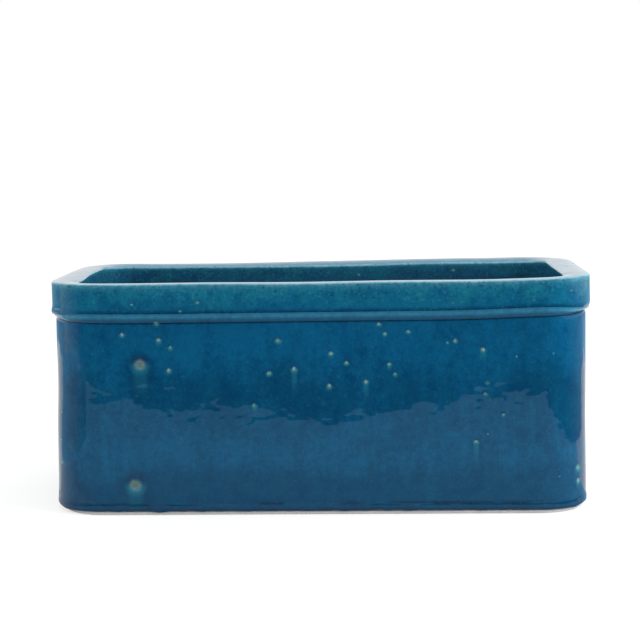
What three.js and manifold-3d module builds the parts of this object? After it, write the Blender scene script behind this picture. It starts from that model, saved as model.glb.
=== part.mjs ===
// Jardiniere: a glazed ceramic trough planter with a collar, built up from luted clay pieces.
// Millimetres, +Z up. The origin is under the middle of the foot. -Y is the front, +X the right end.
import * as THREE from "three";
import { mergeVertices } from "three/addons/utils/BufferGeometryUtils.js";
import Module from "manifold-3d";

const wasm = await Module();
wasm.setup();

// Overall size, over the collar.
const overallLength = 430;
const overallDepth = 186;
const overallHeight = 184;
const collarCornerRadius = 44;

// Collar: the thick bar round the mouth.
const rimWidth = 22;
const collarFaceHeight = 24;
const collarSlopeHeight = 5.5;
const collarProjection = 3.6;
const rimEdgeRadius = 2;

// Walls.
const wallThickness = 13;

// Base: the floor inside the walls, and the bare foot that carries them.
const floorThickness = 12;
const footHeight = 4;
const footInset = 2.5;

// The film of slip between two luted pieces.
const slipJoint = 0.3;

// Facets in a quarter turn, and in the small rounding of the rim's edges.
const cornerSegments = 16;
const edgeSegments = 4;

// Radii and heights that follow from the sizes above.
const quarterTurn = Math.PI / 2;
const wallOuterRadius = collarCornerRadius - collarProjection;
const wallInnerRadius = wallOuterRadius - wallThickness;
const rimInnerRadius = collarCornerRadius - rimWidth;
const collarFaceFoot = overallHeight - collarFaceHeight;
const collarUnderside = collarFaceFoot - collarSlopeHeight;
const wallTop = collarUnderside - slipJoint;
const wallFoot = footHeight + slipJoint;
const floorTop = footHeight + floorThickness;

// The straight runs between the corners, and the corner centres' distances from the middle.
const cornerCentreX = overallLength / 2 - collarCornerRadius;
const cornerCentreY = overallDepth / 2 - collarCornerRadius;
const straightLength = 2 * (cornerCentreX - slipJoint);
const straightDepth = 2 * (cornerCentreY - slipJoint);

const glaze = new THREE.MeshStandardMaterial({ color: 0x0f5675, roughness: 0.12, metalness: 0 });
const collarGlaze = new THREE.MeshStandardMaterial({ color: 0x1d6482, roughness: 0.12, metalness: 0 });
const bareClay = new THREE.MeshStandardMaterial({ color: 0xb3aea4, roughness: 0.9, metalness: 0 });

// A closed three.js geometry as a manifold solid, with its shared vertices merged.
function toSolid(geometry) {
  const bare = geometry.clone();
  bare.deleteAttribute("normal");
  bare.deleteAttribute("uv");
  const merged = mergeVertices(bare);
  const mesh = new wasm.Mesh({
    numProp: 3,
    vertProperties: new Float32Array(merged.attributes.position.array),
    triVerts: new Uint32Array(merged.index.array),
  });
  return new wasm.Manifold(mesh);
}

// A manifold solid as a three.js geometry with flat facets.
function toGeometry(solid) {
  const mesh = solid.getMesh();
  const indexed = new THREE.BufferGeometry();
  indexed.setAttribute("position", new THREE.BufferAttribute(mesh.vertProperties, mesh.numProp));
  indexed.setIndex(new THREE.BufferAttribute(mesh.triVerts, 1));
  const faceted = indexed.toNonIndexed();
  faceted.computeVertexNormals();
  return faceted;
}

// The section of the collar, as a shape. Its x is the distance from a corner's centre line.
function collarSection() {
  const section = new THREE.Shape();
  section.moveTo(rimInnerRadius, collarUnderside);
  section.lineTo(wallOuterRadius, collarUnderside);
  section.lineTo(collarCornerRadius, collarFaceFoot);
  const edgeHeight = overallHeight - rimEdgeRadius;
  section.absarc(collarCornerRadius - rimEdgeRadius, edgeHeight, rimEdgeRadius, 0, quarterTurn, false);
  section.absarc(rimInnerRadius + rimEdgeRadius, edgeHeight, rimEdgeRadius, quarterTurn, Math.PI, false);
  section.closePath();
  return section;
}

// The section of a wall, as a shape in the same coordinates.
function wallSection() {
  const section = new THREE.Shape();
  section.moveTo(wallInnerRadius, wallFoot);
  section.lineTo(wallOuterRadius, wallFoot);
  section.lineTo(wallOuterRadius, wallTop);
  section.lineTo(wallInnerRadius, wallTop);
  section.closePath();
  return section;
}

// A straight bar of the section, facing +X, with its middle at the origin.
function straightBar(section, length) {
  const options = { depth: length, bevelEnabled: false, curveSegments: edgeSegments };
  const bar = new THREE.ExtrudeGeometry(section, options);
  bar.translate(0, 0, -length / 2);
  bar.rotateX(quarterTurn);
  return bar;
}

// A quarter turn of the section about Z, from +X to +Y: a whole ring, cut by the box of one quadrant.
function quarterBend(section) {
  const outline = section.getPoints(edgeSegments);
  const ring = new THREE.LatheGeometry(outline, 4 * cornerSegments);
  ring.rotateX(quarterTurn);
  const reach = 2 * collarCornerRadius;
  const quadrant = new THREE.BoxGeometry(reach, reach, 2 * overallHeight);
  quadrant.translate(reach / 2, reach / 2, overallHeight / 2);
  return toGeometry(toSolid(ring).intersect(toSolid(quadrant)));
}

// A plate with rounded corners that ends at the given radius from the corners' centre lines.
function roundedPlate(radius, thickness) {
  const outline = new THREE.Shape();
  outline.absarc(cornerCentreX, cornerCentreY, radius, 0, quarterTurn, false);
  outline.absarc(-cornerCentreX, cornerCentreY, radius, quarterTurn, 2 * quarterTurn, false);
  outline.absarc(-cornerCentreX, -cornerCentreY, radius, 2 * quarterTurn, 3 * quarterTurn, false);
  outline.absarc(cornerCentreX, -cornerCentreY, radius, 3 * quarterTurn, 4 * quarterTurn, false);
  outline.closePath();
  const options = { depth: thickness, bevelEnabled: false, curveSegments: cornerSegments };
  return new THREE.ExtrudeGeometry(outline, options);
}

// The base slab: the wide, low foot joined to the floor that fits inside the walls.
function baseSlab() {
  const foot = roundedPlate(wallOuterRadius - footInset, footHeight);
  const floor = roundedPlate(wallInnerRadius - slipJoint, floorTop);
  return toGeometry(toSolid(foot).add(toSolid(floor)));
}

// The four sides and the four corners of the trough, by the quarter turns that each stands at.
const sides = [
  { name: "right", turns: 0, x: cornerCentreX, y: 0, run: straightDepth },
  { name: "back", turns: 1, x: 0, y: cornerCentreY, run: straightLength },
  { name: "left", turns: 2, x: -cornerCentreX, y: 0, run: straightDepth },
  { name: "front", turns: 3, x: 0, y: -cornerCentreY, run: straightLength },
];
const corners = [
  { name: "back_right", turns: 0, x: cornerCentreX, y: cornerCentreY },
  { name: "back_left", turns: 1, x: -cornerCentreX, y: cornerCentreY },
  { name: "front_left", turns: 2, x: -cornerCentreX, y: -cornerCentreY },
  { name: "front_right", turns: 3, x: cornerCentreX, y: -cornerCentreY },
];

// A course of pieces right round the trough: straight bars on the sides and bends at the corners.
function course(name, section, material) {
  const pieces = new THREE.Group();
  for (const side of sides) {
    const bar = new THREE.Mesh(straightBar(section, side.run), material.clone());
    bar.name = `${name}_${side.name}`;
    bar.position.set(side.x, side.y, 0);
    bar.rotation.z = side.turns * quarterTurn;
    pieces.add(bar);
  }
  for (const corner of corners) {
    const bend = new THREE.Mesh(quarterBend(section), material.clone());
    bend.name = `${name}_corner_${corner.name}`;
    bend.position.set(corner.x, corner.y, 0);
    bend.rotation.z = corner.turns * quarterTurn;
    pieces.add(bend);
  }
  return pieces;
}

const base = new THREE.Mesh(baseSlab(), bareClay);
base.name = "base_slab";

const group = new THREE.Group();
group.name = "jardiniere";
group.add(base);
group.add(course("wall", wallSection(), glaze));
group.add(course("collar", collarSection(), collarGlaze));

export default group;
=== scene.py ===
"""A glazed trough jardiniere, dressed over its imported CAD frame.

The pot is a base slab inside a course of walls, under a course of collar pieces. Each visible piece is
one clay piece with its glaze on. The pieces of a course are cut from one continuous surface, so that
the glaze runs on over the joints, as it does on the fired pot. All sizes are in metres, in the frame
of the CAD part: +X to the right end, -Y to the front, +Z up, the ground at zero.
"""

import logging
import math
from dataclasses import dataclass
from enum import Enum
from functools import cached_property

import bpy
import numpy as np
from mathutils import Matrix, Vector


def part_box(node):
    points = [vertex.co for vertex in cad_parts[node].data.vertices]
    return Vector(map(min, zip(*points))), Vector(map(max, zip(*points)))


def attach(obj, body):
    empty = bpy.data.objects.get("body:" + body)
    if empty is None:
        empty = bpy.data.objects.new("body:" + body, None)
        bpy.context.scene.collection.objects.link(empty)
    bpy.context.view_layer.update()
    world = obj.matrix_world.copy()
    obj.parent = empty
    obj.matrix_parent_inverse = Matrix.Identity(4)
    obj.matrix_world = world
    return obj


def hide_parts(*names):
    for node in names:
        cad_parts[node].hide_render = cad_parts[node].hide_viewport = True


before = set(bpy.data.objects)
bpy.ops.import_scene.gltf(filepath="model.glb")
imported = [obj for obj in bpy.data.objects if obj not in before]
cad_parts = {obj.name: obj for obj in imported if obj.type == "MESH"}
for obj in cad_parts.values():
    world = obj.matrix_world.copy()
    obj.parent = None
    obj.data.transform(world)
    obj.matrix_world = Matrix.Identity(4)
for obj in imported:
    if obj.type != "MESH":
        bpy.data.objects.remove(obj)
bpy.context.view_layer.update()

log = logging.getLogger("jardiniere")

MM = 0.001
BODY = "root"
IMAGE_PIXELS = 640
SENSOR_MM = 36.0

# How far the fired pot's edges lie from the drawn ones: the glaze's hem, the crease and the foot.
GLAZE_OVERHANG = 1.5 * MM
CREASE_DROP = 3.0 * MM
FOOT_SPREAD = 0.8 * MM
FOOT_GAP = 0.3 * MM

# The pinch and the ink at the crease, which walls and collar share, and the pooled glaze inside, which also
# paints shade there.
PINCH_REACH = 1.1 * MM
CREASE_INK = 0.55
CREASE_INK_REACH = 0.9 * MM
INSIDE_POOL_AND_SHADE = 0.44

# What stands for "no pinhole near", in millimetres, and the height of the studio's tall cards.
NO_PINHOLE = 1000.0
CARD_TOP = 2.6

SIDES_AND_CORNERS = (
    ("right", "back_right"),
    ("back", "back_left"),
    ("left", "front_left"),
    ("front", "front_right"),
)
QUARTER = math.pi / 2
Socket = bpy.types.NodeSocket
Value = Socket | float | str | tuple
Inputs = dict[str | int, Value]


def linear(hex_colour: str) -> tuple[float, float, float, float]:
    """Turns an sRGB hex colour into the linear colour that a shader takes.

    Args:
        hex_colour: a colour such as "#0f5675".

    Returns:
        Red, green, blue and an alpha of 1.
    """
    parts = [int(hex_colour[i : i + 2], 16) / 255 for i in (1, 3, 5)]
    values = [p / 12.92 if p <= 0.04045 else ((p + 0.055) / 1.055) ** 2.4 for p in parts]
    return (values[0], values[1], values[2], 1.0)


def per_mm(length_mm: float) -> float:
    """The scale that gives a pattern on Object coordinates this length, in millimetres."""
    return 1.0 / (length_mm * MM)


def add_node(tree: bpy.types.NodeTree, kind: str, inputs: Inputs, **settings: object) -> bpy.types.Node:
    """Adds a node to a tree, with its settings, values and links.

    Args:
        tree: the node tree.
        kind: the node's type.
        inputs: what goes into its sockets: a value, an sRGB hex colour, or another node's output.
        settings: the node's own properties.

    Returns:
        The node.
    """
    node = tree.nodes.new(kind)
    for name, value in settings.items():
        setattr(node, name, value)
    for socket, value in inputs.items():
        if isinstance(value, bpy.types.NodeSocket):
            tree.links.new(value, node.inputs[socket])
        else:
            node.inputs[socket].default_value = linear(value) if isinstance(value, str) else value
    return node


class Step(Enum):
    """What a node does, as its type, its settings, the sockets that it takes in order, and its output.

    Ramp goes from a low value to a high one, smoothly, as a value goes from a start to an end: 0 and 1
    where no others are given. Mix goes from a low colour to a high one as an amount goes from 0 to 1.
    """

    TIMES = ("ShaderNodeMath", {"operation": "MULTIPLY"}, (0, 1), 0)
    TIMES_PLUS = ("ShaderNodeMath", {"operation": "MULTIPLY_ADD"}, (0, 1, 2), 0)
    MINUS = ("ShaderNodeMath", {"operation": "SUBTRACT"}, (0, 1), 0)
    OVER = ("ShaderNodeMath", {"operation": "DIVIDE"}, (0, 1), 0)
    ROOT = ("ShaderNodeMath", {"operation": "SQRT"}, (0,), 0)
    UNSIGNED = ("ShaderNodeMath", {"operation": "ABSOLUTE"}, (0,), 0)
    LARGER = ("ShaderNodeMath", {"operation": "MAXIMUM"}, (0, 1), 0)
    EXCEEDS = ("ShaderNodeMath", {"operation": "GREATER_THAN"}, (0, 1), 0)
    RAMP = ("ShaderNodeMapRange", {"interpolation_type": "SMOOTHSTEP"}, (0, 1, 2, 3, 4), 0)
    MIX = ("ShaderNodeMix", {"data_type": "RGBA"}, (0, 6, 7), 2)
    NOISE = ("ShaderNodeTexNoise", {}, ("Vector", "Scale", "Detail"), 0)
    NOISE_VECTOR = ("ShaderNodeTexNoise", {}, ("Vector", "Scale", "Detail"), 1)
    CELLS = ("ShaderNodeTexVoronoi", {}, ("Vector", "Scale"), slice(0, 2))
    STRETCH = ("ShaderNodeMapping", {}, ("Vector", "Scale"), 0)
    SPLIT = ("ShaderNodeSeparateXYZ", {}, (0,), slice(0, 3))
    VECTOR_TIMES_PLUS = ("ShaderNodeVectorMath", {"operation": "MULTIPLY_ADD"}, (0, 1, 2), 0)
    VECTOR_MINUS = ("ShaderNodeVectorMath", {"operation": "SUBTRACT"}, (0, 1), 0)
    LENGTH = ("ShaderNodeVectorMath", {"operation": "LENGTH"}, (0,), "Value")
    STORED = ("ShaderNodeAttribute", {}, (), "Vector")
    STORED_NUMBER = ("ShaderNodeAttribute", {}, (), "Fac")
    PLACE = ("ShaderNodeTexCoord", {}, (), "Object")
    SEEN = ("ShaderNodeLightPath", {}, (), "Is Camera Ray")
    MIRRORED = ("ShaderNodeLightPath", {}, (), "Is Glossy Ray")
    RELIEF = ("ShaderNodeBump", {}, ("Height", "Distance", "Strength"), 0)
    DIFFUSE = ("ShaderNodeBsdfDiffuse", {}, ("Color",), 0)
    GLOW = ("ShaderNodeEmission", {}, ("Strength",), 0)


class Shading:
    """The node tree of a material or of the world, grown step by step."""

    def __init__(self, owner: bpy.types.Material | bpy.types.World) -> None:
        """Gives the owner an empty tree.

        Args:
            owner: the material or the world.
        """
        owner.use_nodes = True
        self.tree = owner.node_tree
        self.tree.nodes.clear()

    @cached_property
    def place(self) -> Socket:
        """The place on the object, in metres."""
        return self.add(Step.PLACE)

    def add(self, step: Step, *values: Value, **settings: object) -> Socket | list[Socket]:
        """Adds a step to the tree.

        Args:
            step: what it does.
            values: what goes into its sockets, in the step's order.
            settings: the node's own properties, besides the step's.

        Returns:
            The step's output, or a list of its outputs.
        """
        kind, fixed, sockets, output = step.value
        node = add_node(self.tree, kind, dict(zip(sockets, values)), **fixed, **settings)
        return node.outputs[output]

    def product(self, *values: Socket | float) -> Socket:
        """All the values multiplied together.

        Args:
            values: the values.

        Returns:
            Their product.
        """
        total = values[0]
        for value in values[1:]:
            total = self.add(Step.TIMES, total, value)
        return total

    def weighted(self, *terms: tuple[Socket, float], start: float | Socket = 0.0) -> Socket:
        """The start plus each socket times its weight.

        Args:
            terms: sockets with their weights.
            start: what they are added to.

        Returns:
            The sum.
        """
        total = start
        for value, weight in terms:
            total = self.add(Step.TIMES_PLUS, value, weight, total)
        return total

    def distance(self, across: Socket, up: Socket) -> Socket:
        """The length of a way across and up, by Pythagoras."""
        return self.add(Step.ROOT, self.add(Step.TIMES_PLUS, across, across, self.product(up, up)))

    def surface(self, kind: str, inputs: Inputs, output: str = "ShaderNodeOutputMaterial") -> None:
        """Ends the tree with a shader of this kind, what goes into its sockets, and an output."""
        shader = add_node(self.tree, kind, inputs)
        add_node(self.tree, output, {0: shader.outputs[0]})


@dataclass(frozen=True)
class Pattern:
    """A cloudy pattern in a finish: its real size, its detail, and how far it is squashed in height."""

    length_mm: float
    detail: float
    squash: float = 1.0

    def on(self, shade: Shading) -> Socket:
        """Lays the pattern on the surface, as smooth noise about a half.

        Args:
            shade: the tree.

        Returns:
            The noise.
        """
        place = shade.place
        if self.squash != 1.0:
            place = shade.add(Step.STRETCH, place, (1.0, 1.0, self.squash))
        return shade.add(Step.NOISE, place, per_mm(self.length_mm), self.detail)


def put_in_scene(name: str, data: bpy.types.ID) -> bpy.types.Object:
    """Makes an object of a mesh, a lamp or a camera, and links it to the scene.

    Args:
        name: the object's name.
        data: what it shows.

    Returns:
        The object.
    """
    made = bpy.data.objects.new(name, data)
    bpy.context.scene.collection.objects.link(made)
    return made


def stood(place: tuple[float, float, float], right: np.ndarray, up: np.ndarray, back: np.ndarray) -> Matrix:
    """The matrix that stands a lamp or the camera at a place, with its right, up and back directions."""
    return Matrix.Translation(place) @ Matrix(np.array([right, up, back]).T.tolist()).to_4x4()


def store(mesh: bpy.types.Mesh, name: str, domain: str, kind: str, values: np.ndarray) -> None:
    """Stores values on a mesh by name, one for each POINT or CORNER, each a FLOAT or a FLOAT_VECTOR."""
    layer = mesh.attributes.new(name, kind, domain)
    layer.data.foreach_set("value" if kind == "FLOAT" else "vector", values.astype(np.float32).ravel())


def quads_on(index: np.ndarray) -> np.ndarray:
    """Four-cornered faces, one for each cell of a grid, from the numbers of the grid's points."""
    corners = (index[:-1, :-1], index[1:, :-1], index[1:, 1:], index[:-1, 1:])
    return np.stack(corners, axis=-1).reshape(-1, 4)


@dataclass(frozen=True)
class Ripple:
    """Smooth random unevenness of a hand-made surface, as a sum of sine waves.

    Wave k adds sin(w_k . p + phase_k) at a point p, where w_k has a random direction and a
    wavelength near the given one. The sum is scaled to the given standard deviation.
    """

    height: float
    length: float
    seed: int
    waves: int = 28

    def at(self, points: np.ndarray) -> np.ndarray:
        """The unevenness at each point.

        Args:
            points: places, as an array whose last axis is x, y and z.

        Returns:
            Heights, with the same shape less that axis.
        """
        rng = np.random.default_rng(self.seed)
        direction = rng.normal(size=(self.waves, 3))
        direction /= np.linalg.norm(direction, axis=1, keepdims=True)
        length = self.length * rng.uniform(0.7, 1.6, self.waves)
        wave = 2 * np.pi * direction / length[:, None]
        phase = rng.uniform(0, 2 * np.pi, self.waves)
        total = np.sin(points @ wave.T + phase).sum(axis=-1)
        return self.height * math.sqrt(2 / self.waves) * total


@dataclass(frozen=True)
class PhotoCamera:
    """The photograph's point of view, fitted to the outlines of rim, collar, wall and foot."""

    place: tuple[float, float, float] = (53.0 * MM, -1081.1 * MM, 282.0 * MM)
    turned_left: float = math.radians(2.826)
    tipped_down: float = math.radians(3.462)
    rolled: float = math.radians(-1.052)
    focal_px: float = 1296.6
    axis_row: float = 230.0

    def axes(self) -> np.ndarray:
        """The camera's directions.

        Returns:
            Right, up and forward, as the rows of a matrix.
        """
        yaw, pitch, roll = -self.turned_left, self.tipped_down, self.rolled
        forward = np.array(
            [math.sin(yaw) * math.cos(pitch), math.cos(yaw) * math.cos(pitch), -math.sin(pitch)]
        )
        level = np.array([math.cos(yaw), -math.sin(yaw), 0.0])
        upright = np.cross(level, forward)
        right = level * math.cos(roll) + upright * math.sin(roll)
        up = upright * math.cos(roll) - level * math.sin(roll)
        return np.array([right, up, forward])

    def pixels(self, points: np.ndarray) -> np.ndarray:
        """Where points fall in the 640 by 640 frame: column = centre + f x / z, row = axis - f y / z.

        Args:
            points: places, as an array whose last axis is x, y and z.

        Returns:
            Columns and rows, on the last axis.
        """
        right, up, depth = np.moveaxis((points - np.array(self.place)) @ self.axes().T, -1, 0)
        column = IMAGE_PIXELS / 2 + self.focal_px * right / depth
        row = self.axis_row - self.focal_px * up / depth
        return np.stack([column, row], axis=-1)

    def build(self) -> bpy.types.Object:
        """Makes the camera and gives it to the scene.

        Returns:
            The camera object.
        """
        data = bpy.data.cameras.new("photo_camera")
        data.sensor_width = SENSOR_MM
        data.lens = self.focal_px / IMAGE_PIXELS * SENSOR_MM
        data.shift_y = (self.axis_row - IMAGE_PIXELS / 2) / IMAGE_PIXELS
        camera = put_in_scene("photo_camera", data)
        right, up, forward = self.axes()
        camera.matrix_world = stood(self.place, right, up, -forward)
        bpy.context.scene.camera = camera
        return camera


@dataclass(frozen=True)
class Stretch:
    """One side or corner of the trough, between two tangent points."""

    name: str
    start: tuple[float, float]
    end: tuple[float, float]
    faces: float
    turn: float
    cells: int


@dataclass(frozen=True)
class Stations:
    """Places round the trough: a corner-line centre, an outward direction and a running length."""

    centre: np.ndarray
    outward: np.ndarray
    run: np.ndarray


@dataclass
class TroughPlan:
    """The trough seen from above: a rectangle of corner centres, and radii measured out from it."""

    centre_x: float
    centre_y: float
    wall_outer: float
    wall_inner: float
    collar_outer: float
    rim_inner: float
    cell: float = 1.5 * MM
    easing: float = 4.5 * MM

    @classmethod
    def from_frame(cls) -> "TroughPlan":
        """Reads the plan's sizes from the boxes of the CAD nodes.

        Returns:
            The plan.
        """
        collar_low, collar_high = (np.array(c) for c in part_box("collar_corner_back_right"))
        wall_high = np.array(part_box("wall_corner_back_right")[1])
        side_low = np.array(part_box("wall_right")[0])
        rim_low = np.array(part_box("collar_right")[0])
        return cls(
            centre_x=float(collar_low[0]),
            centre_y=float(collar_low[1]),
            wall_outer=float(wall_high[0] - collar_low[0]),
            wall_inner=float(side_low[0] - collar_low[0]),
            collar_outer=float(collar_high[0] - collar_low[0]),
            rim_inner=float(rim_low[0] - collar_low[0]),
        )

    def stretches(self) -> list[Stretch]:
        """The four sides and four corners in order, anticlockwise from above, from the right end.

        Returns:
            Each side, followed by the corner that it runs into.
        """
        x, y = self.centre_x, self.centre_y
        centres = [(x, -y), (x, y), (-x, y), (-x, -y), (x, -y)]
        bend = round(QUARTER * self.wall_outer / self.cell)
        made = []
        for number, (side, corner) in enumerate(SIDES_AND_CORNERS):
            start, end = centres[number], centres[number + 1]
            cells = round(math.dist(start, end) / self.cell)
            faces = number * QUARTER
            made.append(Stretch(side, start, end, faces, 0.0, cells))
            made.append(Stretch(f"corner_{corner}", end, end, faces, QUARTER, bend))
        return made

    def stations(self) -> Stations:
        """Places all round the trough, one for each ring of points.

        On a side the centre slides and the direction stays, on a corner the centre stays and the
        direction turns. Both are then averaged over the easing length, so that a side turns into its
        corner without a kink in the reflections, as clay bent by hand does.

        Returns:
            The stations, the first of which also follows the last.
        """
        centres, angles, steps = [], [], []
        for part in self.stretches():
            share = np.arange(part.cells) / part.cells
            start, end = np.array(part.start), np.array(part.end)
            length = np.linalg.norm(end - start) + part.turn * self.wall_outer
            centres.append(start + share[:, None] * (end - start))
            angles.append(part.faces + share * part.turn)
            steps.append(np.full(part.cells, length / part.cells))
        angle, step = np.concatenate(angles), np.concatenate(steps)
        outward = np.stack([np.cos(angle), np.sin(angle)], axis=1)
        run = np.concatenate([[0.0], np.cumsum(step)[:-1]])
        return Stations(self._eased(np.concatenate(centres)), self._eased(outward), run)

    def _eased(self, values: np.ndarray) -> np.ndarray:
        """Averages values round the loop with a Gaussian weight of the easing length.

        Args:
            values: one row for each station.

        Returns:
            The averaged rows.
        """
        count = len(values)
        away = np.minimum(np.arange(count), count - np.arange(count)) * self.cell
        weight = np.exp(-0.5 * (away / self.easing) ** 2)
        spectrum = np.fft.fft(weight / weight.sum())[:, None] * np.fft.fft(values, axis=0)
        return np.fft.ifft(spectrum, axis=0).real


def line(start: tuple[float, float], end: tuple[float, float], spacing: float) -> np.ndarray:
    """Evenly spaced points from start up to, but without, end.

    Args:
        start: radius and height of the first point.
        end: radius and height of the point after the last.
        spacing: the largest distance between points.

    Returns:
        Radii and heights, one row for each point.
    """
    first, last = np.array(start), np.array(end)
    count = max(1, math.ceil(np.linalg.norm(last - first) / spacing))
    return first + np.arange(count)[:, None] / count * (last - first)


def arc(centre: tuple[float, float], radius: float, start: float, end: float, points: int) -> np.ndarray:
    """Points on a round edge, centre + radius (cos a, sin a), from angle start up to, but without, end."""
    angle = start + np.arange(points) / points * (end - start)
    return np.array(centre) + radius * np.stack([np.cos(angle), np.sin(angle)], axis=1)


def nearness(profile: np.ndarray, spot: tuple[float, float], reach: float) -> np.ndarray:
    """How near each profile point is to a spot: exp(-(distance / reach)^2), 1 on the spot."""
    distance = np.linalg.norm(profile - np.array(spot), axis=1)
    return np.exp(-((distance / reach) ** 2))


def part_way(value: np.ndarray, start: float, end: float) -> np.ndarray:
    """How far a value has come from start to end, (value - start) / (end - start), kept within 0 and 1."""
    return np.clip((value - start) / (end - start), 0, 1)


@dataclass(frozen=True)
class Rise:
    """An amount that comes in by a smooth step: amount / (1 + exp(-(value - middle) / width))."""

    amount: float
    middle: float
    width: float

    def at(self, value: np.ndarray) -> np.ndarray:
        """The amount at each value."""
        return self.amount * (1 / (1 + np.exp(-(value - self.middle) / self.width)))


@dataclass(frozen=True)
class Bump:
    """An amount that dies away to both sides: amount exp(-((value - middle) / reach)^2)."""

    amount: float
    middle: float
    reach: float

    def at(self, value: np.ndarray) -> np.ndarray:
        """The amount at each value."""
        return self.amount * np.exp(-(((value - self.middle) / self.reach) ** 2))


@dataclass(frozen=True)
class Touch:
    """Glaze thinned or gathered about a place on the section, by an amount times its nearness."""

    amount: float
    spot: tuple[float, float]
    reach: float

    def on(self, points: np.ndarray) -> np.ndarray:
        """The amount at each point of a section."""
        return self.amount * nearness(points, self.spot, self.reach)


def travelled(points: np.ndarray, start: int, value: float) -> np.ndarray:
    """The way along a section from its first point, shifted to have a value at one of its points.

    Args:
        points: radii and heights.
        start: the point that has the value.
        value: its value.

    Returns:
        One length for each point.
    """
    steps = np.linalg.norm(np.diff(points, axis=0), axis=1)
    way = np.concatenate([[0.0], np.cumsum(steps)])
    return way - way[start] + value


@dataclass(frozen=True)
class Profile:
    """A closed section, anticlockwise with the outside going up, and how the glaze lies on it.

    Ink is how much the glaze has run together into a groove or a lower edge, where it is deepest blue.
    Face is 1 on the collar's upright face, and ledge on the slope under it. Inward and sag go from 0 at
    the collar's outer edge to 1 at its inner one, and say how much of the hand's shift and drop of that
    edge a point takes. Reach is the way along the section, which equals the height where wall and
    collar meet. Downhill is 1 where it grows upwards and -1 where it grows downwards, on the inside.
    """

    points: np.ndarray
    thin: np.ndarray
    pool: np.ndarray
    ink: np.ndarray
    shown: np.ndarray
    face: np.ndarray
    ledge: np.ndarray
    inward: np.ndarray
    sag: np.ndarray
    reach: np.ndarray
    downhill: np.ndarray


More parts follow.
